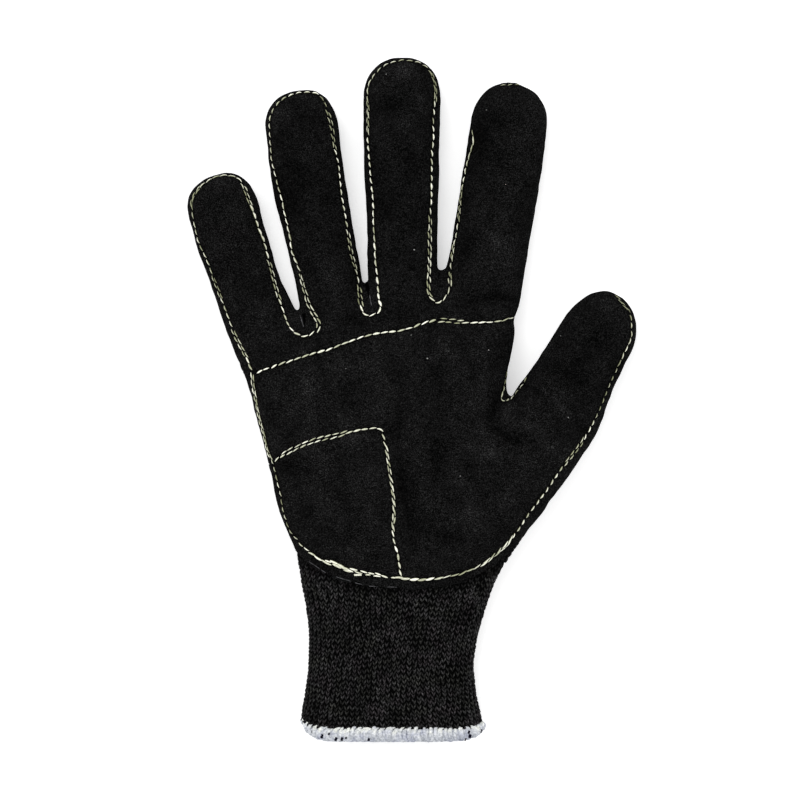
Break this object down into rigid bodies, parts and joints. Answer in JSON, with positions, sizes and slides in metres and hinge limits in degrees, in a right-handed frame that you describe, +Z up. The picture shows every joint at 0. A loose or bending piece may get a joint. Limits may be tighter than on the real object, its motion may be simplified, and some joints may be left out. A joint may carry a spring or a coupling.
{
  "type": "cut-resistant work glove",
  "caption": "Right-hand knitted work glove with a suede palm, contrast stitching and a long cuff with a white overlocked edge, lying palm up.",
  "frame": {"origin": "middle of the glove's box on the surface that it lies on", "axes": "+Y towards the fingertips, +X towards the thumb's side, +Z up out of the palm; the back of the hand is down"},
  "size_m": [0.1699, 0.2604, 0.0261],
  "materials": {
    "knit": "black stockinette knit, matt",
    "suede": "black split leather with a short nap, matt",
    "hem": "white overlocked yarn",
    "thread": "pale yellow-green twisted sewing thread"
  },
  "bodies": {
    "root": {"knit_cuff": "knit", "knit_hand": "knit", "knit_little": "knit", "knit_ring": "knit", "knit_middle": "knit", "knit_index": "knit", "knit_thumb": "knit", "leather_fingers": "suede", "leather_palm": "suede", "leather_heel": "suede", "cuff_hem": "hem"}
  },
  "joints": []
}
